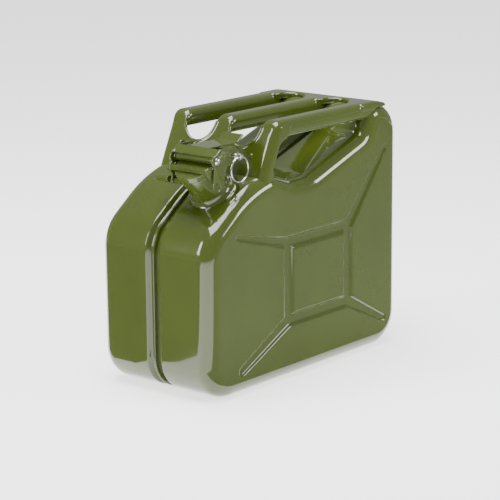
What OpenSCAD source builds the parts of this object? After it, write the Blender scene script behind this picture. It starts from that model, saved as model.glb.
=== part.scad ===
// Ten-litre steel fuel can: two pressed half shells with a welded centre seam,
// a three-bar carrying handle and a cam-lever closure with a safety pin.
// Origin: middle of the footprint, on the ground. X runs along the can, the
// spout is at -X. Y runs across the can, Z is up. Millimetres.

/* [Body] */
// Length of the body, front to back
body_l = 345; // [330:1:360]
// Thickness of the body, side to side
body_w = 165; // [155:1:175]
// Height of the body at its back edge
body_h = 294; // [288:1:300]
// Sheet thickness, drawn heavier than real sheet so that the walls are sound
sheet = 1.5; // [1:0.1:2]
// Rounding between the side panels and the narrow faces
side_round = 18; // [14:1:22]
// Rounding of the two bottom corners
bottom_round = 41; // [36:1:46]
// Half width of the channel that holds the seam
seam_half = 8; // [6:0.5:10]
// Depth of the seam channel
seam_depth = 5; // [3:0.5:7]

/* [Side panel pressing] */
// Width of the pressed channels
rib_w = 17; // [12:1:22]
// Depth of the pressed channels
rib_depth = 3; // [2:0.5:4]

/* [Handle] */
// Top of the three bars
handle_top = 297; // [295:0.5:302]
// Width of one bar
bar_w = 24; // [20:1:28]
// Height of one bar
bar_h = 20; // [16:1:22]
// Distance from the middle bar to an outer bar
bar_pitch = 66; // [62:1:68]

/* [Closure] */
// Forward tilt of the neck
neck_tilt = 36; // [34:1:38]
// Outer radius of the neck
neck_r = 22; // [21:0.5:22.5]
// Outer radius of the lid
lid_r = 25.5; // [25:0.1:25.6]
// Radius of the lever's pivot pin
pivot_r = 2.5; // [2:0.1:2.6]
// Diameter of the safety ring, to the middle of its wire
ring_d = 28; // [24:1:30]
// Diameter of the ring's wire
ring_wire = 2; // [1.6:0.1:2.2]

/* [Hidden] */
$fn = 64;

olive = [0.30, 0.35, 0.12];
dark_olive = [0.24, 0.29, 0.09];
zinc = [0.80, 0.80, 0.76];
black = [0.08, 0.08, 0.08];

gap = 0.3;          // between bodies that move past each other
fit = 0.05;         // radial clearance of a shaft in its bore
xf = -body_l / 2;   // front face
xb = body_l / 2;    // back face
arc_steps = 8;      // straight pieces in each rounded corner of the outline

// Corners of the body's side view, counter-clockwise, as [x, z, rounding].
corners = [
    [xf, 0, bottom_round],
    [xb, 0, bottom_round],
    [xb, body_h, 38],
    [120, body_h, 20],
    [106, 262, 16],
    [8, 228, 60],
    [-24, 228, 22],
    [-60, 241, 24],
    [-104, 231, 150],
    [xf, 180.3, 50]
];

function unit(v) = v / norm(v);
function cross2(a, b) = a[0] * b[1] - a[1] * b[0];
// Corner i moved inwards by d, from the two edges that meet there.
function inset_corner(p, q, r, d) =
    let (a = unit(q - p), b = unit(r - q),
         na = [-a[1], a[0]], nb = [-b[1], b[0]],
         bis = unit(na + nb))
    q + bis * d / (bis * na);
// Points of one rounded corner of the outline inset by d.
function corner_arc(p, q, r, round, d) =
    let (a = unit(q - p), b = unit(r - q),
         turn = asin(cross2(a, b)),
         convex = turn > 0 ? 1 : -1,
         rad = round - convex * d,
         c = inset_corner(p, q, r, d),
         t = rad * tan(abs(turn) / 2),
         start = c - a * t,
         centre = start + convex * rad * [-a[1], a[0]],
         a0 = atan2(start[1] - centre[1], start[0] - centre[0]))
    [for (k = [0:arc_steps]) let (g = a0 + turn * k / arc_steps)
        centre + rad * [cos(g), sin(g)]];
// The body's outline, inset by d.
function outline(d) =
    let (n = len(corners))
    [for (i = [0:n - 1])
        let (p = corners[(i + n - 1) % n], q = corners[i], r = corners[(i + 1) % n])
        each corner_arc([p[0], p[1]], [q[0], q[1]], [r[0], r[1]], q[2], d)];

// Stations of a skin as [distance from the seam plane, inset].
function rounding(w, in) =
    [for (k = [0:5]) let (g = 90 * k / 5)
        [w - side_round + (side_round - in) * sin(g) , in + (side_round - in) * (1 - cos(g))]];
function outer_skin() = concat(
    [[0, seam_depth], [seam_half, seam_depth], [seam_half + 2, 0]],
    rounding(body_w / 2, 0));
function inner_skin() = concat(
    [[-6, seam_depth + sheet], [seam_half + 1, seam_depth + sheet], [seam_half + 3, sheet]],
    rounding(body_w / 2, sheet));

// Closed solid through a list of rings of equal length.
module rings(ring_list) {
    n = len(ring_list[0]);
    m = len(ring_list);
    polyhedron(
        points = [for (r = ring_list) each r],
        faces = concat(
            [[for (i = [n - 1:-1:0]) i]],
            [for (j = [0:m - 2], i = [0:n - 1], half = [0, 1])
                let (a = j * n + i, b = j * n + (i + 1) % n)
                half == 0 ? [a, b + n, a + n] : [a, b, b + n]],
            [[for (i = [0:n - 1]) (m - 1) * n + i]]),
        convexity = 6);
}
// Rings for the side at +Y; the other side mirrors this one.
module half_solid(skin) {
    rings([for (s = skin) [for (p = outline(s[1])) [p[0], s[0], p[1]]]]);
}
module both_sides() {
    children();
    mirror([0, 1, 0]) children();
}
// What stands on the body is trimmed by prisms that step down its rounded edge.
trim_steps = [[0, 68, 0], [68, 72, 0.3], [72, 75, 1.6], [75, 77.5, 3.3], [77.5, 90, 5.6]];
module body_trim() {
    for (t = trim_steps)
        both_sides() across(t[0], t[1]) polygon(outline(t[2]));
}

// ---- side panel pressing -------------------------------------------------
frame_x = [-36, 73];     // middles of the frame's upright channels
frame_z = [69, 159];     // middles of the frame's level channels
arm_ends = [[-114, 30], [140, 236], [-122, 180], [140, 34]];

module bar2d(a, b, w) {
    d = b - a;
    translate(a) rotate(atan2(d[1], d[0])) {
        translate([0, -w / 2]) square([norm(d), w]);
        circle(d = w);
        translate([norm(d), 0]) circle(d = w);
    }
}
module pressing2d(w) {
    lo = [frame_x[0], frame_z[0]];
    hi = [frame_x[1], frame_z[1]];
    bar2d(lo, [hi[0], lo[1]], w);
    bar2d([lo[0], hi[1]], hi, w);
    bar2d(lo, [lo[0], hi[1]], w);
    bar2d([hi[0], lo[1]], hi, w);
    bar2d(lo, arm_ends[0], w);
    bar2d(hi, arm_ends[1], w);
    bar2d([lo[0], hi[1]], arm_ends[2], w);
    bar2d([hi[0], lo[1]], arm_ends[3], w);
}
// Flat prism over a side-view shape, between two distances from the seam plane.
module across(y0, y1) {
    translate([0, y1, 0]) rotate([90, 0, 0]) linear_extrude(y1 - y0) children();
}
module half_shell() {
    side = body_w / 2;
    difference() {
        union() {
            difference() {
                half_solid(outer_skin());
                half_solid(inner_skin());
            }
            across(side - rib_depth - sheet, side - sheet / 2) pressing2d(rib_w + 2 * sheet);
        }
        across(side - rib_depth, side + 1) pressing2d(rib_w);
    }
}
module left_shell() { color(olive) half_shell(); }
module right_shell() {
    color(olive) difference() {
        mirror([0, 1, 0]) half_shell();
        closure_frame() translate([0, 0, -60]) cylinder(r = neck_r, h = 80);
    }
}
module seam_flange() {
    color(olive) difference() {
        across(-1.1, 1.1) difference() {
            polygon(outline(0.3));
            polygon(outline(seam_depth));
        }
        across(-2, 2) polygon([apron_foot - [2, 20], apron_foot + [40, -20],
            apron_foot + [40, 40], apron_foot + [-2, 40]]);
    }
}

// ---- neck and its fittings ----------------------------------------------
mouth = [-136, -36, 257];    // middle of the mouth, on the half shell at -Y
neck_in = 46;                // neck length below the mouth
hinge = [31, -6];            // hinge pin, in the closure's own frame
pivot = [2, 8.5];            // lever pivot
trunnion = [-14, -13.5];         // stud that the lever's hook grips
stud_r = 4;

// The closure's own frame: origin in the mouth, Z out of it, X to the back.
module closure_frame() {
    translate(mouth) rotate([0, -neck_tilt, 0]) children();
}
// Prism across the closure, over a shape drawn in its [x, z] plane.
module plate(y0, y1) {
    translate([0, y1, 0]) rotate([90, 0, 0]) linear_extrude(y1 - y0) children();
}
module cross_pin(at, r, y0, y1) {
    translate([at[0], y1, at[1]]) rotate([90, 0, 0]) cylinder(r = r, h = y1 - y0);
}
module neck() {
    color(olive) closure_frame() difference() {
        union() {
            translate([0, 0, -neck_in]) cylinder(r = neck_r, h = neck_in);
            translate([0, 0, -2.5]) cylinder(r = neck_r + 1.4, h = 2.5);
        }
        translate([0, 0, -neck_in - 1]) cylinder(r = neck_r - 2, h = neck_in + 2);
    }
}
module neck_weld() {
    color(dark_olive) difference() {
        closure_frame() translate([0, 0, -46]) difference() {
            cylinder(r = neck_r + 3, h = 12.5);
            translate([0, 0, -1]) cylinder(r = neck_r, h = 14);
        }
        across(-90, 90) polygon(outline(0));
    }
}
module neck_collar() {
    color(olive) closure_frame() translate([0, 0, -20]) difference() {
        cylinder(r = 23, h = 16);
        translate([0, 0, -1]) cylinder(r = neck_r, h = 18);
        // flats that carry the two brackets
        for (s = [-1, 1]) translate([-40, s > 0 ? 22.5 : -32.5, -1]) cube([80, 10, 18]);
    }
}
module breather_tube() {
    color(zinc) closure_frame() translate([neck_r - 6.5, 0, -66]) difference() {
        cylinder(r = 4.5, h = 62);
        translate([0, 0, -1]) cylinder(r = 3.5, h = 64);
    }
}
module bracket_shape() {
    polygon([[-2, -14], [26, -14], [hinge[0] + 3, hinge[1] - 5], [hinge[0], hinge[1] + 5.5],
        [24, -6.5], [-2, -8]]);
    translate(hinge) circle(r = 5.5);
}
module hinge_bracket() {
    color(olive) closure_frame() difference() {
        plate(22.5, 25) bracket_shape();
        cross_pin(hinge, pivot_r, 20, 30);
    }
}
module hinge_bracket_left() { hinge_bracket(); }
module hinge_bracket_right() { mirror([0, 1, 0]) hinge_bracket(); }
module hinge_pin() {
    color(zinc) closure_frame() cross_pin(hinge, pivot_r, -28.6, 28.6);
}
module trunnion() {
    color(olive) closure_frame() difference() {
        cross_pin(trunnion, stud_r, 12, 33.5);
        translate([0, 0, -30]) cylinder(r = 23, h = 50);
    }
}
module trunnion_left() { trunnion(); }
module trunnion_right() { mirror([0, 1, 0]) trunnion(); }

// ---- handle ---------------------------------------------------------------
apron_top = [-47.7, handle_top];   // front face of the apron, top and bottom
apron_foot = [-77, 234];
apron_t = 2.2;               // the apron's thickness, along X
apron_half = 79;
bar_z = handle_top - bar_h;
bar_back = 128;
plate_x = 118;
scallop_r = 23;

module bar_profile(w, h) {
    r = h / 2;
    for (s = [-1, 1]) translate([s * (w / 2 - r), 0]) circle(r = r);
    square([w - 2 * r, h], center = true);
}
// Point in the side view at height z, behind the apron's front face by back.
function on_apron(z, back) =
    [apron_foot[0] + (z - apron_foot[1]) * (apron_top[0] - apron_foot[0])
        / (apron_top[1] - apron_foot[1]) + back, z];
// Everything in front of the apron's back face.
module front_of_apron(back) {
    d = unit(apron_top - apron_foot);
    a = apron_foot - 40 * d + [back, 0];
    b = apron_top + 60 * d + [back, 0];
    across(-120, 120) polygon([a, b, b - [80, 0], a - [80, 0]]);
}
module bar(y) {
    difference() {
        translate([-70, y, bar_z + bar_h / 2]) rotate([90, 0, 90]) linear_extrude(bar_back + 70)
            difference() {
                bar_profile(bar_w, bar_h);
                bar_profile(bar_w - 2 * sheet, bar_h - 2 * sheet);
            }
        front_of_apron(apron_t);
        translate([plate_x, y - 30, body_h - 1]) cube([60, 60, 20]);
        body_trim();
    }
}
module handle_bar_left() { color(olive) bar(bar_pitch); }
module handle_bar_centre() { color(olive) bar(0); }
module handle_bar_right() { color(olive) bar(-bar_pitch); }
module handle_apron() {
    color(olive) difference() {
        across(-apron_half, apron_half) polygon([
            apron_foot, apron_foot + [apron_t, 0], apron_top + [apron_t, 0], apron_top]);
        for (y = [-1, 1] * bar_pitch / 2) {
            translate([-90, y, handle_top - 8]) rotate([0, 90, 0]) cylinder(r = scallop_r, h = 80);
            translate([-90, y - scallop_r, handle_top - 8]) cube([80, 2 * scallop_r, 20]);
        }
        body_trim();
    }
}
module handle_flange() {
    color(olive) difference() {
        across(apron_half - 2.2, apron_half) polygon([
            on_apron(234, apron_t), [-47, 222], [-51, 238],
            [-36, 272], [-34, 277], on_apron(277, apron_t)]);
        body_trim();
    }
}
module handle_flange_left() { handle_flange(); }
module handle_flange_right() { mirror([0, 1, 0]) handle_flange(); }
module handle_rear_plate() {
    color(olive) difference() {
        across(-apron_half, apron_half) polygon([
            [plate_x, body_h], [134, body_h], [134, handle_top], [plate_x, handle_top]]);
        for (y = [-1, 1] * bar_pitch / 2)
            translate([plate_x - 14, y, body_h - 5]) cylinder(r = bar_pitch / 2 - bar_w / 2, h = 20);
    }
}
module handle_spot_welds() {
    color(olive) difference() {
        for (s = [-1, 1], y = [32, 52])
            translate([on_apron(258.5, 0)[0], s * y, 258.5]) rotate([0, -65, 0])
                cylinder(r = 2.6, h = 1);
        across(-120, 120) polygon([apron_foot, apron_foot + [30, 0],
            apron_top + [30, 0], apron_top]);
    }
}

// ---- lid, yoke and lever --------------------------------------------------
arm_in = 26;      // inner face of the yoke's arms
arm_out = 28.5;
cheek_in = 29;    // inner face of the lever's cheeks
cheek_out = 31.5;
lid_z = 2.3;      // underside of the lid's plate
rivet_u = 13;     // rivets, behind the middle of the lid

module lid() {
    color(olive) closure_frame() difference() {
        translate([0, 0, -2.4]) cylinder(r = lid_r, h = lid_z + 4.4);
        translate([0, 0, -5]) cylinder(r = lid_r - 1.5, h = lid_z + 5);
        for (s = [-1, 1]) translate([rivet_u, s * 9, 0]) cylinder(r = 2.5, h = 10);
    }
}
module gasket() {
    color(black) closure_frame() translate([0, 0, gap]) difference() {
        cylinder(r = lid_r - 1.5, h = lid_z - gap);
        translate([0, 0, -1]) cylinder(r = 16.5, h = 5);
    }
}
module lid_rivets() {
    color(zinc) closure_frame() for (s = [-1, 1]) translate([rivet_u, s * 9, 0]) {
        translate([0, 0, lid_z]) cylinder(r = 2.5, h = 5.2);
        translate([0, 0, lid_z + 5.2]) cylinder(r = 3.6, h = 1);
    }
}
module arm_shape() {
    translate(hinge) circle(r = 6);
    translate(pivot) circle(r = 4.3);
    polygon([[hinge[0] - 4, hinge[1] - 4.5], [hinge[0] + 5.5, hinge[1] + 2.4], [pivot[0] + 5, 12],
        [pivot[0] + 4, 4]]);
    // low bar to the front strip, under the sweep of the lever's front edge
    polygon([[pivot[0] + 6, -1], [pivot[0] + 6, 4.8], [-7, 4.8], [-10.5, 10.5], [-14, 10.5],
        [-16, 8], [-16, -1]]);
}
module yoke() {
    color(olive) closure_frame() difference() {
        union() {
            both_sides() plate(arm_in, arm_out) arm_shape();
            // bridge over the back of the lid, and the strip along its front
            plate(-arm_in, arm_in) polygon([[8.5, 5.3], [20.5, 5.3], [20.5, 7.5], [8.5, 7.5]]);
            plate(-arm_in, arm_in) polygon([[-16, 4.9], [-13.6, 4.9], [-11.5, 10], [-13.7, 11]]);
        }
        cross_pin(hinge, pivot_r + fit, -40, 40);
        cross_pin(pivot, pivot_r, -40, 40);
        for (s = [-1, 1]) translate([rivet_u, s * 9, 0]) cylinder(r = 2.5, h = 10);
        cross_pin(lock, lock_r + 0.35, -40, -20);
    }
}
module lever_pin() {
    color(zinc) closure_frame() {
        cross_pin(pivot, pivot_r, -cheek_out - 0.3, cheek_out + 0.3);
        for (s = [-1, 1]) translate([pivot[0], s * (cheek_out + 0.3), pivot[1]])
            rotate([s * -90, 0, 0]) intersection() {
                cylinder(r = 4.4, h = 3);
                translate([0, 0, -2.6]) sphere(r = 5.4);
            }
    }
}

// Lever: rolled front edge round the pin, top web, two cheeks with hooks.
web = 1.8;
lever_top = 14.9;                 // top of the web over the pivot
web_end = [14.5, lever_top];      // where the web turns level with the ground
lock = [24, -3.5];                // safety pin, in the closure's frame
lock_r = 2.2;
lid_ratio = 90 / 115;             // lid angle per lever angle when it opens

function turn2(p, c, a) =
    let (d = p - c) c + [d[0] * cos(a) - d[1] * sin(a), d[0] * sin(a) + d[1] * cos(a)];
// Where the stud lies in the lever's frame once the lever has turned by a.
function stud_in_lever(a) = turn2(turn2(trunnion, hinge, a * lid_ratio), pivot, -a);
// A point on the level part of the lever, by its distance back and up from web_end.
function level(p) = turn2(web_end + p, web_end, -neck_tilt);

module cheek_shape() {
    translate(pivot) circle(r = 7.5);
    polygon([pivot + [-5, 0], [pivot[0] - 4, lever_top], web_end, level([24, 0]), level([26, -6]),
        level([24, -18]), level([14, -20]), [12, -7], [-7, -20], [-20, -12]]);
    translate(trunnion + [1, -0.5]) circle(r = 7.3);
}
module lever() {
    color(olive) closure_frame() difference() {
        union() {
            difference() {
                both_sides() plate(cheek_in, cheek_out) cheek_shape();
                for (a = [0:1.5:40]) cross_pin(stud_in_lever(a), stud_r + gap, -40, 40);
            }
            // barrel on the pin, and the rib that carries it under the web
            plate(-arm_in + gap, arm_in - gap) {
                translate(pivot) circle(r = 3.8);
                polygon([pivot, pivot + [web, 0], [pivot[0] + web, lever_top - web + 0.1],
                    [pivot[0], lever_top - web + 0.1]]);
            }
            plate(-cheek_in, cheek_in) polygon([[pivot[0], lever_top - web],
                [pivot[0], lever_top], web_end, web_end - [0, web]]);
            plate(-15, 15) polygon([web_end - [1, web], web_end, level([48, 0]), level([48, -web])]);
            plate(-14.5, 14.5) polygon([level([48, -web]), level([48, 0]), level([57, 7]),
                level([58.4, 5.6])]);
        }
        cross_pin(pivot, pivot_r + fit, -40, 40);
        cross_pin(lock, lock_r + fit, -40, -20);
    }
}

// ---- safety pin and ring --------------------------------------------------
eye_y = -42;      // middle of the pin's eye
module locking_pin() {
    color(zinc) closure_frame() difference() {
        union() {
            cross_pin(lock, lock_r, eye_y + 1, -arm_out - gap);
            translate([lock[0], eye_y, lock[1]]) rotate([0, neck_tilt + 90, 0])
                cylinder(r = 3.6, h = 4, center = true);
            cross_pin(lock, 3.4, eye_y + 4, eye_y + 5.4);
        }
        translate([lock[0], eye_y, lock[1]]) rotate([0, neck_tilt + 90, 0])
            cylinder(r = ring_wire / 2 + 0.35, h = 20, center = true);
    }
}
module pin_ring() {
    color(zinc) closure_frame() translate([lock[0], eye_y, lock[1]]) rotate([0, neck_tilt, 0])
        translate([0, 0, -ring_d / 2]) rotate([90, 0, 0]) rotate_extrude()
            translate([ring_d / 2, 0]) circle(d = ring_wire, $fn = 24);
}

left_shell();
right_shell();
seam_flange();
neck();
neck_weld();
neck_collar();
breather_tube();
hinge_bracket_left();
hinge_bracket_right();
hinge_pin();
trunnion_left();
trunnion_right();
handle_apron();
handle_flange_left();
handle_flange_right();
handle_bar_left();
handle_bar_centre();
handle_bar_right();
handle_rear_plate();
handle_spot_welds();
lid();
gasket();
lid_rivets();
yoke();
lever_pin();
lever();
locking_pin();
pin_ring();
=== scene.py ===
import math

import bmesh
import bpy
import numpy as np
from mathutils import Matrix, Vector


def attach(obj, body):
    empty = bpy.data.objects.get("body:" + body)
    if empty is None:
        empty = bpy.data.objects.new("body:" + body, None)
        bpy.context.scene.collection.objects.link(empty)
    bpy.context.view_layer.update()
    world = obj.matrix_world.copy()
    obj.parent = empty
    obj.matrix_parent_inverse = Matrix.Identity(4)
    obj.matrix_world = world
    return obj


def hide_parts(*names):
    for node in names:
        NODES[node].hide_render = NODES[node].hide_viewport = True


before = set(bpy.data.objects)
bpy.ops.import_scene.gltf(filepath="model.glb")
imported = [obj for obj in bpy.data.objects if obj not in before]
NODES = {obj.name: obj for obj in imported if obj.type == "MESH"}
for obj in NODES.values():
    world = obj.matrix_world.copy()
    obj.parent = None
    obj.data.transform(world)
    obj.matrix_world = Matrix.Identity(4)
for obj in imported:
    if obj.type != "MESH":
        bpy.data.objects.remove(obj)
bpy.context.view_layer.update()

MM = 0.001

# ---------------------------------------------------------------- dimensions, mm
BODY_L, BODY_W, BODY_H = 345.0, 165.0, 294.0
HALF_L, HALF_W = BODY_L / 2, BODY_W / 2
SIDE_ROUND = 18.0
# The seam channel's depth, half width of its floor and width of its wall.
SEAM_DEPTH, SEAM_FLOOR, SEAM_WALL = 5.0, 5.4, 6.2
SEAM_STEPS, ROUND_STEPS = 12, 16
HANDLE_TOP = 297.0
BAR_W, BAR_H, BAR_PITCH = 24.0, 20.0, 66.0
BAR_X = (-20.0, 131.0)
NECK_R, NECK_REACH = 22.0, 60.0
NECK_TILT = math.radians(36)
MOUTH = (-136.0, -36.0, 257.0)
# Safety pin in the closure's own frame (along the lid, out of the mouth), its eye and its ring.
LOCK = (24.0, -3.5)
EYE_Y, RING_D, RING_WIRE, RING_STEPS = -42.0, 28.0, 2.0, 72

# Corners of the body's side view as (x, z, rounding), counter-clockwise.
CORNERS = [
    (-HALF_L, 0.0, 41.0), (HALF_L, 0.0, 41.0), (HALF_L, BODY_H, 38.0),
    (120.0, BODY_H, 20.0), (106.0, 262.0, 16.0), (8.0, 228.0, 60.0),
    (-24.0, 228.0, 22.0), (-60.0, 241.0, 24.0), (-104.0, 231.0, 150.0),
    (-HALF_L, 180.3, 50.0),
]
# Channels pressed into each side: a frame and an arm out of each of its corners,
# as start, end and width factor at each end.
FRAME_X, FRAME_Z = (-36.0, 73.0), (69.0, 159.0)
LOW_LEFT, LOW_RIGHT = (FRAME_X[0], FRAME_Z[0]), (FRAME_X[1], FRAME_Z[0])
HIGH_LEFT, HIGH_RIGHT = (FRAME_X[0], FRAME_Z[1]), (FRAME_X[1], FRAME_Z[1])
CHANNELS = [
    (LOW_LEFT, LOW_RIGHT, 1.0, 1.0), (HIGH_LEFT, HIGH_RIGHT, 1.0, 1.0),
    (LOW_LEFT, HIGH_LEFT, 1.0, 1.0), (LOW_RIGHT, HIGH_RIGHT, 1.0, 1.0),
    (LOW_LEFT, (-117, 28), 1.0, 0.75), (HIGH_RIGHT, (142, 240), 1.0, 0.55),
    (HIGH_LEFT, (-124, 180), 0.9, 0.4), (LOW_RIGHT, (143, 33), 1.0, 0.55),
]
CHANNEL_DEPTH = 3.2
CHANNEL_FLOOR, CHANNEL_RIM = 3.6, 9.6
NARROW_DEPTH = 0.35  # share of the depth left where a channel's width runs out

# ---------------------------------------------------------------- small helpers


def unit(v):
    return v / np.linalg.norm(v)


def outline(inset, step=2.0):
    """The rounded side view moved inwards; the number of points is the same for every inset."""
    pts = np.array([(c[0], c[1]) for c in CORNERS])
    n = len(pts)
    arcs = []
    for i in range(n):
        p, q, r = pts[i - 1], pts[i], pts[(i + 1) % n]
        a, b = unit(q - p), unit(r - q)
        turn = math.asin(a[0] * b[1] - a[1] * b[0])
        sign = 1.0 if turn > 0 else -1.0
        na, nb = np.array([-a[1], a[0]]), np.array([-b[1], b[0]])
        bis = unit(na + nb)
        c = q + bis * inset / float(bis @ na)
        rad = CORNERS[i][2] - sign * inset
        start = c - a * rad * math.tan(abs(turn) / 2)
        centre = start + sign * rad * na
        first = math.atan2(start[1] - centre[1], start[0] - centre[0])
        count = max(6, int(CORNERS[i][2] * abs(turn) / step))
        arcs.append([centre + rad * np.array([math.cos(first + turn * k / count),
                                              math.sin(first + turn * k / count)])
                     for k in range(count + 1)])
    out = []
    for i in range(n):
        out += arcs[i]
        a, b = arcs[i][-1], arcs[(i + 1) % n][0]
        length = np.linalg.norm(pts[(i + 1) % n] - pts[i])
        pieces = max(2, int(length * 0.7 / (step * 1.3)))
        out += [a + (b - a) * k / pieces for k in range(1, pieces)]
    return np.array(out)


def smooth01(t):
    t = np.clip(t, 0.0, 1.0)
    return t * t * t * (t * (6 * t - 15) + 10)


def pressing(x, z):
    """Depth of the pressed channels at points of the side panel."""
    depth = np.zeros_like(x)
    for a, b, fa, fb in CHANNELS:
        a, b = np.array(a, float), np.array(b, float)
        d = b - a
        t = np.clip(((x - a[0]) * d[0] + (z - a[1]) * d[1]) / (d @ d), 0, 1)
        dist = np.hypot(x - a[0] - t * d[0], z - a[1] - t * d[1])
        f = fa + (fb - fa) * t
        wall = 1 - smooth01((dist / f - CHANNEL_FLOOR) / (CHANNEL_RIM - CHANNEL_FLOOR))
        share = np.minimum(1.0, NARROW_DEPTH + (1 - NARROW_DEPTH) * f)
        depth = np.maximum(depth, CHANNEL_DEPTH * share * wall)
    return depth


def new_object(name, verts, faces, smooth=True):
    """Object from points in millimetres, its seams merged and its normals turned outwards."""
    mesh = bpy.data.meshes.new(name)
    mesh.from_pydata([tuple(float(c) * MM for c in v) for v in verts], [], faces)
    mesh.validate()
    obj = bpy.data.objects.new(name, mesh)
    bpy.context.scene.collection.objects.link(obj)
    bm = bmesh.new()
    bm.from_mesh(mesh)
    bmesh.ops.remove_doubles(bm, verts=bm.verts, dist=1e-6)
    bmesh.ops.recalc_face_normals(bm, faces=bm.faces)
    bm.to_mesh(mesh)
    bm.free()
    for p in mesh.polygons:
        p.use_smooth = smooth
    return obj


def loft(rings, caps=True):
    """Vertices and faces through closed rings of equal length."""
    n = len(rings[0])
    verts = [v for r in rings for v in r]
    faces = []
    for j in range(len(rings) - 1):
        for i in range(n):
            a, b = j * n + i, j * n + (i + 1) % n
            faces.append((a, b, b + n, a + n))
    if caps:
        faces.append(tuple(range(n)))
        faces.append(tuple(range(len(verts) - 1, len(verts) - n - 1, -1)))
    return verts, faces


def merged(parts):
    """Several (vertices, faces) pairs as one."""
    verts, faces = [], []
    for v, f in parts:
        base = len(verts)
        verts += list(v)
        faces += [tuple(i + base for i in face) for face in f]
    return verts, faces


def closure(v):
    """From the closure's own frame (origin in the mouth) to the can's frame."""
    c, s = math.cos(NECK_TILT), math.sin(NECK_TILT)
    return (MOUTH[0] + v[0] * c - v[2] * s, MOUTH[1] + v[1], MOUTH[2] + v[0] * s + v[2] * c)


def lathe(profile, place, steps=96):
    """Surface of revolution from (radius, height) points, put in place by a function."""
    rings = []
    for r, h in profile:
        turns = [2 * math.pi * k / steps for k in range(steps)]
        rings.append([place((r * math.cos(g), r * math.sin(g), h)) for g in turns])
    return loft(rings, caps=False)


def tube(path, radius, steps=12, closed=False):
    """Round tube along a path of points."""
    path = [np.array(p, float) for p in path]
    n = len(path)
    rings = []
    ref = np.array([0.0, 0.0, 1.0])
    for i in range(n):
        a = path[i - 1] if (closed or i > 0) else path[i]
        b = path[(i + 1) % n] if (closed or i < n - 1) else path[i]
        d = unit(b - a)
        side = np.cross(d, ref)
        if np.linalg.norm(side) < 0.2:
            side = np.cross(d, np.array([0.0, 1.0, 0.0]))
        side = unit(side)
        up = np.cross(side, d)
        ref = up
        rings.append([tuple(path[i] + radius * (math.cos(2 * math.pi * k / steps) * side
                                                + math.sin(2 * math.pi * k / steps) * up))
                      for k in range(steps)])
    if closed:
        rings.append(rings[0])
    return loft(rings, caps=not closed)


def soften(obj, voxel, rounds, factor=0.5):
    """Merges what overlaps and rounds every edge, as thick paint on pressed sheet does."""
    m = obj.modifiers.new("merge", "REMESH")
    m.mode = "VOXEL"
    m.voxel_size = voxel * MM
    m.use_smooth_shade = True
    s = obj.modifiers.new("round", "SMOOTH")
    s.factor = factor
    s.iterations = rounds


# ---------------------------------------------------------------- materials


class Nodes:
    """A few shortcuts for building a material's nodes."""

    def __init__(self, name):
        self.mat = bpy.data.materials.new(name)
        self.mat.use_nodes = True
        self.tree = self.mat.node_tree
        self.bsdf = self.tree.nodes["Principled BSDF"]
        self.coord = self.add("ShaderNodeTexCoord").outputs["Object"]

    def add(self, kind, **values):
        node = self.tree.nodes.new(kind)
        for key, value in values.items():
            node.inputs[key.replace("_", " ")].default_value = value
        return node

    def link(self, a, b):
        self.tree.links.new(a, b)

    def noise(self, scale, detail=3.0, roughness=0.5):
        node = self.add("ShaderNodeTexNoise", Scale=scale, Detail=detail, Roughness=roughness)
        self.link(self.coord, node.inputs["Vector"])
        return node.outputs["Fac"]

    def ramp(self, fac, stops):
        node = self.add("ShaderNodeValToRGB")
        elements = node.color_ramp.elements
        for i, (pos, colour) in enumerate(stops):
            e = elements[i] if i < 2 else elements.new(pos)
            e.position = pos
            e.color = (*colour, 1.0) if len(colour) == 3 else colour
        self.link(fac, node.inputs["Fac"])
        return node.outputs["Color"]

    def spread(self, fac, low, high):
        node = self.add("ShaderNodeMapRange")
        node.inputs["To Min"].default_value = low
        node.inputs["To Max"].default_value = high
        self.link(fac, node.inputs["Value"])
        return node.outputs["Result"]

    def bump(self, height, distance, strength=1.0, normal=None):
        node = self.add("ShaderNodeBump", Strength=strength, Distance=distance)
        self.link(height, node.inputs["Height"])
        if normal is not None:
            self.link(normal, node.inputs["Normal"])
        return node.outputs["Normal"]

    def set(self, **values):
        for key, value in values.items():
            self.bsdf.inputs[key.replace("_", " ")].default_value = value


OLIVE = (0.045, 0.063, 0.007)


def tint(colour, k):
    return tuple(c * k for c in colour)


def paint(name, colour, rough=0.13):
    """Gloss enamel sprayed on steel: slow drift of shade, orange peel, dust in the film."""
    n = Nodes(name)
    shade = n.ramp(n.noise(9.0, 4.0), [(0.3, tint(colour, 0.9)), (0.7, tint(colour, 1.1))])
    n.link(shade, n.bsdf.inputs["Base Color"])
    n.link(n.spread(n.noise(30.0, 5.0, 0.6), rough * 0.75, rough * 1.35),
           n.bsdf.inputs["Roughness"])
    peel = n.bump(n.noise(260.0, 2.0), 0.00010, 0.35)
    wave = n.bump(n.noise(22.0, 1.0), 0.0010, 0.12, peel)
    n.link(wave, n.bsdf.inputs["Normal"])
    n.set(Metallic=0.0, Coat_Weight=0.8, Coat_Roughness=0.03)
    n.bsdf.inputs["Specular IOR Level"].default_value = 0.35
    return n.mat


def zinc(name):
    n = Nodes(name)
    tone = n.ramp(n.noise(160.0, 4.0), [(0.3, (0.55, 0.55, 0.51)), (0.7, (0.74, 0.74, 0.70))])
    n.link(tone, n.bsdf.inputs["Base Color"])
    n.link(n.spread(n.noise(420.0, 4.0), 0.10, 0.26), n.bsdf.inputs["Roughness"])
    n.link(n.bump(n.noise(900.0, 2.0), 0.00005, 0.3), n.bsdf.inputs["Normal"])
    n.set(Metallic=1.0)
    return n.mat


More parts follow.
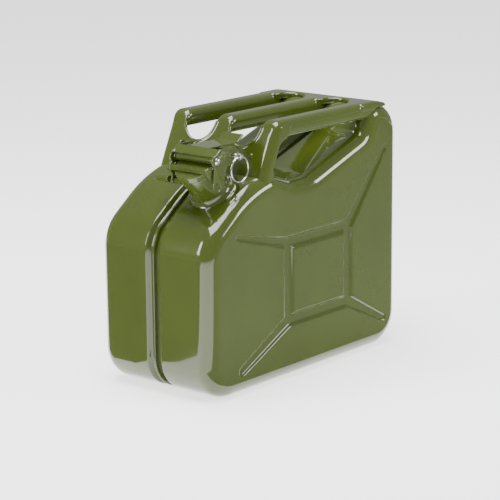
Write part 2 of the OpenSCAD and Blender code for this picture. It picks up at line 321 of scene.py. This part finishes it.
def rubber(name):
    n = Nodes(name)
    tone = n.ramp(n.noise(200.0, 4.0), [(0.3, (0.018, 0.018, 0.018)), (0.7, (0.035, 0.035, 0.034))])
    n.link(tone, n.bsdf.inputs["Base Color"])
    n.link(n.spread(n.noise(500.0, 4.0), 0.55, 0.8), n.bsdf.inputs["Roughness"])
    n.link(n.bump(n.noise(1400.0, 3.0), 0.00008, 0.6), n.bsdf.inputs["Normal"])
    return n.mat


PAINT = paint("olive_enamel", OLIVE)
WELD_PAINT = paint("olive_weld", tint(OLIVE, 0.85), 0.2)
ZINC = zinc("zinc_plate")
RUBBER = rubber("rubber_seal")


def finish_piece(obj, material, body, nodes):
    """Gives a made piece its material, its body and the CAD nodes it stands for."""
    obj.data.materials.clear()
    obj.data.materials.append(material)
    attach(obj, body)
    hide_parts(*nodes)


# ---------------------------------------------------------------- body halves


def shell_stations():
    """(distance from the seam plane, inset) from the weld flange out to the side panel."""
    out = [(0.6, SEAM_DEPTH), (3.0, SEAM_DEPTH), (SEAM_FLOOR, SEAM_DEPTH)]
    for k in range(1, SEAM_STEPS + 1):
        t = k / SEAM_STEPS
        out.append((SEAM_FLOOR + SEAM_WALL * t, SEAM_DEPTH * (1 - float(smooth01(t)))))
    out += [(y, 0.0) for y in (15.0, 22.0, 30.0, 38.0, 46.0, 53.0, 58.5, 62.5)]
    flat = HALF_W - SIDE_ROUND
    for k in range(ROUND_STEPS + 1):
        g = math.pi / 2 * k / ROUND_STEPS
        out.append((flat + SIDE_ROUND * math.sin(g), SIDE_ROUND * (1 - math.cos(g))))
    return out


# The panel's rings shrink towards a point that sees the whole outline, past the handle's notch.
PANEL_CENTRE = np.array([57.0, 86.0])
PANEL_STEPS = 100


def shell(side):
    """Half of the body: rings out from the seam, then rings across the pressed side panel."""
    rings = []
    for y, inset in shell_stations():
        ring = outline(inset)
        # the channels' depth fades out over the last 30 percent of the rounding
        fade = float(smooth01((inset / SIDE_ROUND - 0.7) / 0.3))
        depth = pressing(ring[:, 0], ring[:, 1]) * fade
        rings.append([(p[0], side * (y - d), p[1]) for p, d in zip(ring, depth)])
    edge = outline(SIDE_ROUND)
    for k in range(1, PANEL_STEPS):
        t = 1 - k / PANEL_STEPS
        pts = PANEL_CENTRE + (edge - PANEL_CENTRE) * t
        depth = pressing(pts[:, 0], pts[:, 1])
        rings.append([(p[0], side * (HALF_W - d), p[1]) for p, d in zip(pts, depth)])
    verts, faces = loft(rings, caps=False)
    last = len(verts)
    n = len(edge)
    verts.append((PANEL_CENTRE[0], side * HALF_W, PANEL_CENTRE[1]))
    base = last - n
    faces += [(base + i, base + (i + 1) % n, last) for i in range(n)]
    return verts, faces


def in_neck(v):
    """True for a point of the shoulder inside the neck's bore."""
    c, s = math.cos(NECK_TILT), math.sin(NECK_TILT)
    x, y, z = v[0] - MOUTH[0], v[1] - MOUTH[1], v[2] - MOUTH[2]
    across, along = math.hypot(x * c + z * s, y), z * c - x * s
    return across < NECK_R - 1.0 and abs(along) < NECK_REACH


for side, name in ((1, "left_shell"), (-1, "right_shell")):
    verts, faces = shell(side)
    if side < 0:
        inside = [in_neck(v) for v in verts]
        faces = [f for f in faces if not all(inside[i] for i in f)]
    obj = new_object("painted_" + name, verts, faces)
    finish_piece(obj, PAINT, "can", [name])

# Weld flange: the thin ridge along the middle of the seam channel, as (half width, inset).
RIDGE = [(1.3, SEAM_DEPTH + 0.5), (1.2, 1.6), (0.9, 0.8), (0.4, 0.4)]
ridge = []
for y, inset in [(-y, inset) for y, inset in RIDGE] + RIDGE[::-1]:
    ridge.append([(p[0], y, p[1]) for p in outline(inset)])
seam = new_object("weld_ridge", *loft(ridge, caps=False))
finish_piece(seam, WELD_PAINT, "can", ["seam_flange"])

# ---------------------------------------------------------------- handle

APRON_TOP, APRON_FOOT = (-47.7, HANDLE_TOP), (-77.0, 234.0)
APRON_SLOPE = (APRON_TOP[0] - APRON_FOOT[0]) / (APRON_TOP[1] - APRON_FOOT[1])
APRON_HALF, APRON_CORNER, APRON_T = 79.0, 10.0, 2.8
APRON_STRAIGHT = APRON_HALF - APRON_CORNER
APRON_BEND = APRON_STRAIGHT + APRON_CORNER * math.pi / 2
APRON_EDGE = 6.0  # length of the side flange before it widens
APRON_Z = (226.0, 291.0)
APRON_GRID = (150, 48)
SCALLOP_R, SCALLOP_Z = 23.0, 289.0
SCALLOPS_Y = (-BAR_PITCH / 2, BAR_PITCH / 2)
SPOT_Y, SPOT_Z = (-52, -32, 32, 52), 258.5
PLATE_FRONT, PLATE_UNDER, PLATE_ROUND = 104.0, 289.0, 6.0


def apron_x(z):
    """X of the apron's sloping face at a height."""
    return APRON_FOOT[0] + (z - APRON_FOOT[1]) * APRON_SLOPE


def apron_wrap(s, z, flange):
    """Point and normal of the apron's outer face at arc length s from its middle."""
    sign = 1.0 if s >= 0 else -1.0
    s = abs(s)
    # angle turned round the corner, from the front face to the side flange
    g = min(max(s - APRON_STRAIGHT, 0.0) / APRON_CORNER, math.pi / 2)
    dx = APRON_CORNER * (1 - math.cos(g)) + max(s - APRON_BEND, 0.0) * flange
    y = min(s, APRON_STRAIGHT) + APRON_CORNER * math.sin(g)
    point = np.array([apron_x(z) + dx, sign * y, z])
    return point, np.array([-math.cos(g), sign * math.sin(g), 0.0])


def flange_width(z):
    """The side flange widens where it runs into the ramp and into the bar."""
    low = max(0.0, (248.0 - z) / 22.0)
    high = min(1.0, max(0.0, (z - 270.0) / 8.0))
    return 4.0 + 22.0 * low ** 2 + 10.0 * high ** 2


def in_scallop(y, z):
    return any(abs(y - y0) < SCALLOP_R
               and (z > SCALLOP_Z or math.hypot(y - y0, z - SCALLOP_Z) < SCALLOP_R)
               for y0 in SCALLOPS_Y)


def apron_sheet():
    """Sloping sheet in front of the bars, with bent sides and the two scallops cut out."""
    reach = APRON_BEND + APRON_EDGE
    across_n, up_n = APRON_GRID
    outer, inner = [], []
    for j in range(up_n + 1):
        z = APRON_Z[0] + (APRON_Z[1] - APRON_Z[0]) * j / up_n
        for i in range(across_n + 1):
            s = -reach + 2 * reach * i / across_n
            point, normal = apron_wrap(s, z, flange_width(z) / APRON_EDGE)
            outer.append(tuple(point))
            inner.append(tuple(point - normal * APRON_T))
    w = across_n + 1
    total = len(outer)
    keep = {}
    for j in range(up_n):
        for i in range(across_n):
            corner = outer[j * w + i]
            mid_y = (corner[1] + outer[j * w + i + 1][1]) / 2
            mid_z = (corner[2] + outer[(j + 1) * w + i][2]) / 2
            if not in_scallop(mid_y, mid_z):
                keep[i, j] = True
    faces = []
    for i, j in keep:
        a, b, c, d = j * w + i, j * w + i + 1, (j + 1) * w + i + 1, (j + 1) * w + i
        faces.append((a, b, c, d))
        faces.append((d + total, c + total, b + total, a + total))
        edges = {(0, -1): (a, b), (1, 0): (b, c), (0, 1): (c, d), (-1, 0): (d, a)}
        for (di, dj), (p, q) in edges.items():
            if (i + di, j + dj) not in keep:
                faces.append((q, p, p + total, q + total))
    return outer + inner, faces


def scallop_rim(y0, wire=2.1, steps=40):
    """Rolled rim of one finger scallop, from bar to bar."""
    path = []
    for k in range(steps + 1):
        g = math.pi * (1 + k / steps)
        y, z = y0 + SCALLOP_R * math.cos(g), SCALLOP_Z + SCALLOP_R * math.sin(g)
        path.append((apron_x(z) + APRON_T / 2 - 0.2, y, z))
    return tube(path, wire)


def bar_section(inset, r=8.0, steps=8):
    """Rounded rectangle, as (y, z) about the bar's middle."""
    pts = []
    hw, hh, rr = BAR_W / 2 - inset, BAR_H / 2 - inset, max(r - inset, 0.8)
    for q, (sy, sz) in enumerate(((1, -1), (1, 1), (-1, 1), (-1, -1))):
        for k in range(steps + 1):
            g = math.radians(-90 + 90 * q + 90 * k / steps)
            pts.append((sy * (hw - rr) + rr * math.cos(g), sz * (hh - rr) + rr * math.sin(g)))
    return pts


def bar(y0, fillet=7.0, fillet_steps=6):
    """Carrying bar: a rounded tube whose front end follows the apron's slope."""
    mid = HANDLE_TOP - BAR_H / 2
    rings = []
    for k in range(fillet_steps + 1):
        g = math.pi / 2 * k / fillet_steps
        inset = fillet * (1 - math.sin(g))
        back = fillet * (1 - math.cos(g))
        rings.append([(apron_x(mid + z) + back, y0 + y, mid + z) for y, z in bar_section(inset)])
    for x in np.linspace(*BAR_X, 30):
        rings.append([(x, y0 + y, mid + z) for y, z in bar_section(0.0)])
    return loft(rings)


def rear_plate():
    """Plate that joins the three bars and runs out on the body's flat top."""
    gap_r = BAR_PITCH / 2 - BAR_W / 2
    rings = []
    for y in np.linspace(-APRON_HALF, APRON_HALF, 120):
        # the front edge is scooped out round the end of each gap between the bars
        scoop = max(max(0.0, gap_r ** 2 - (y - c) ** 2) for c in SCALLOPS_Y)
        x0 = PLATE_FRONT + math.sqrt(scoop)
        edge = max(0.0, abs(y) - (APRON_HALF - PLATE_ROUND)) / PLATE_ROUND
        drop = 3.0 * (1 - math.sqrt(max(0.0, 1 - edge ** 2)))
        top = [(x0, HANDLE_TOP - 1.5), (x0 + 1.5, HANDLE_TOP), (132.0, HANDLE_TOP),
               (138.0, 296.3), (144.0, 295.0), (150.0, 293.5)]
        rings.append([(x, y, z - drop) for x, z in top]
                     + [(x, y, PLATE_UNDER) for x, z in reversed(top)])
    return loft(rings)


handle_parts = [apron_sheet(), rear_plate()]
handle_parts += [scallop_rim(y) for y in SCALLOPS_Y]
handle_parts += [bar(y) for y in (-BAR_PITCH, 0.0, BAR_PITCH)]
handle = new_object("carrying_handle", *merged(handle_parts))
soften(handle, 0.9, 7)
finish_piece(handle, PAINT, "can",
             ["handle_apron", "handle_flange_left", "handle_flange_right", "handle_bar_left",
              "handle_bar_centre", "handle_bar_right", "handle_rear_plate"])


def dome(radius, height, steps=8):
    """Profile of a low dome, for lathe()."""
    turns = [math.pi / 2 * k / steps for k in range(steps)]
    return [(radius * math.cos(g), height * math.sin(g)) for g in turns] + [(0.01, height)]


def spot_weld(y):
    """Low dome on the apron's sloping face, sunk a little into it."""
    along = unit(np.array([APRON_SLOPE, 0.0, 1.0]))
    normal = np.array([-along[2], 0.0, along[0]])
    foot = np.array([apron_x(SPOT_Z), y, SPOT_Z]) - 0.3 * normal

    def place(v):
        return tuple(foot + v[0] * along + v[1] * np.array([0.0, 1.0, 0.0]) + v[2] * normal)

    return lathe(dome(2.9, 1.1), place, 24)


welds = new_object("spot_weld_dimples", *merged([spot_weld(y) for y in SPOT_Y]))
finish_piece(welds, PAINT, "can", ["handle_spot_welds"])

# ---------------------------------------------------------------- neck and closure

# Neck as (radius, height below the mouth): bore, rolled rim, outside, then the flare at its foot.
neck_profile = [(19.5, -48.0), (19.5, -24.0), (19.5, -1.0), (20.2, -0.1), (22.6, 0.0),
                (23.2, -0.7), (23.3, -1.8), (22.6, -2.8), (NECK_R, -3.6)]
neck_profile += [(NECK_R, h) for h in (-8.0, -14.0, -20.0, -26.0, -31.0)]
FLARE_TOP, FLARE_WIDE, FLARE_HIGH, FLARE_STEPS = -33.0, 9.0, 8.6, 12
for k in range(FLARE_STEPS + 1):
    g = math.pi / 2 * k / FLARE_STEPS
    neck_profile.append((NECK_R + FLARE_WIDE * (1 - math.cos(g)),
                         FLARE_TOP - FLARE_HIGH * math.sin(g)))
neck = new_object("flared_neck", *lathe(neck_profile, closure))
finish_piece(neck, PAINT, "can", ["neck", "neck_weld"])

# The ring hangs straight down from the pin's eye.
eye = closure((LOCK[0], EYE_Y, LOCK[1]))
turns = [2 * math.pi * k / RING_STEPS for k in range(RING_STEPS)]
ring_path = [(eye[0] + RING_D / 2 * math.sin(g), eye[1], eye[2] - RING_D / 2 * (1 - math.cos(g)))
             for g in turns]
ring = new_object("split_ring", *tube(ring_path, RING_WIRE / 2, 16, closed=True))
finish_piece(ring, ZINC, "ring", ["pin_ring"])

# CAD pieces that are shown as they are: material, voxel size in mm and smoothing rounds.
CARRIED = {
    "neck_collar": (PAINT, 0.5, 2), "breather_tube": (ZINC, 0, 0),
    "hinge_bracket_left": (PAINT, 0.35, 3), "hinge_bracket_right": (PAINT, 0.35, 3),
    "hinge_pin": (ZINC, 0.3, 2), "trunnion_left": (PAINT, 0.35, 3),
    "trunnion_right": (PAINT, 0.35, 3), "lid": (PAINT, 0.45, 3), "gasket": (RUBBER, 0, 0),
    "lid_rivets": (ZINC, 0.3, 2), "yoke": (PAINT, 0.4, 3), "lever_pin": (ZINC, 0.3, 2),
    "lever": (PAINT, 0.4, 3), "locking_pin": (ZINC, 0.25, 2),
}
for name, (material, voxel, rounds) in CARRIED.items():
    obj = NODES[name]
    obj.data.materials.clear()
    obj.data.materials.append(material)
    if voxel:
        soften(obj, voxel, rounds)

# ---------------------------------------------------------------- stage, light, camera


def card(name, x, y, z, grey, glow=0.0):
    """Flat studio card lying on the ground, from its X and Y limits."""
    corners = [(x[0], y[0], z), (x[1], y[0], z), (x[1], y[1], z), (x[0], y[1], z)]
    obj = new_object(name, corners, [(0, 1, 2, 3)], smooth=False)
    mat = bpy.data.materials.new(name)
    mat.use_nodes = True
    b = mat.node_tree.nodes["Principled BSDF"]
    b.inputs["Base Color"].default_value = (grey, grey, grey, 1)
    b.inputs["Roughness"].default_value = 0.85
    b.inputs["Emission Color"].default_value = (1, 1, 1, 1)
    b.inputs["Emission Strength"].default_value = glow
    obj.data.materials.append(mat)
    return obj


card("floor", (-4000, 4000), (-4000, 4000), -0.2, 0.9, glow=1.6)
# Darker studio cards that only reflections see, lying left of the can and in front of its side.
for name, x, y, grey in (("left_card", (-3000, -190), (60, 3000), 0.08),
                         ("side_card", (-230, 3000), (-3000, -100), 0.25)):
    flag = card(name, x, y, 0.5, grey)
    flag.visible_camera = flag.visible_diffuse = flag.visible_shadow = False

world = bpy.data.worlds.new("studio")
bpy.context.scene.world = world
world.use_nodes = True
wt = world.node_tree
bg = wt.nodes["Background"]
bg.inputs["Color"].default_value = (1, 1, 1, 1)
path = wt.nodes.new("ShaderNodeLightPath")
level = wt.nodes.new("ShaderNodeMapRange")
level.inputs["To Min"].default_value = 0.35
level.inputs["To Max"].default_value = 2.0
wt.links.new(path.outputs["Is Camera Ray"], level.inputs["Value"])
wt.links.new(level.outputs["Result"], bg.inputs["Strength"])


def area_light(name, place, target, size, power):
    data = bpy.data.lights.new(name, "AREA")
    data.shape = "RECTANGLE"
    data.size, data.size_y = size
    data.energy = power
    obj = bpy.data.objects.new(name, data)
    bpy.context.scene.collection.objects.link(obj)
    obj.location = place
    obj.rotation_euler = (Vector(target) - Vector(place)).to_track_quat("-Z", "Y").to_euler()
    return obj


area_light("top_softbox", (-0.2, 0.1, 1.8), (0, 0, 0.2), (1.6, 1.0), 62.0)
area_light("left_softbox", (-1.7, 0.9, 1.0), (0, 0, 0.15), (0.5, 1.0), 26.0)
area_light("right_softbox", (0.9, -1.7, 1.1), (0, 0, 0.15), (1.0, 0.5), 26.0)

CAM_AZ, CAM_EL, CAM_ROLL = math.radians(-49.71), math.radians(13.5), math.radians(-0.55)
back = Vector((math.sin(CAM_AZ) * math.cos(CAM_EL), -math.cos(CAM_AZ) * math.cos(CAM_EL),
               math.sin(CAM_EL)))
right = Vector((math.cos(CAM_AZ), math.sin(CAM_AZ), 0.0))
up = back.cross(right)
cam_x = right * math.cos(CAM_ROLL) + up * math.sin(CAM_ROLL)
cam_y = up * math.cos(CAM_ROLL) - right * math.sin(CAM_ROLL)
cam_data = bpy.data.cameras.new("camera")
cam = bpy.data.objects.new("camera", cam_data)
bpy.context.scene.collection.objects.link(cam)
cam_data.sensor_width = 36.0
cam_data.lens = 141.92
cam_data.clip_start, cam_data.clip_end = 0.1, 30.0
matrix = Matrix((cam_x, cam_y, back)).transposed().to_4x4()
matrix.translation = Vector((-1.70370, -1.43863, 0.66686))
cam.matrix_world = matrix
bpy.context.scene.camera = cam
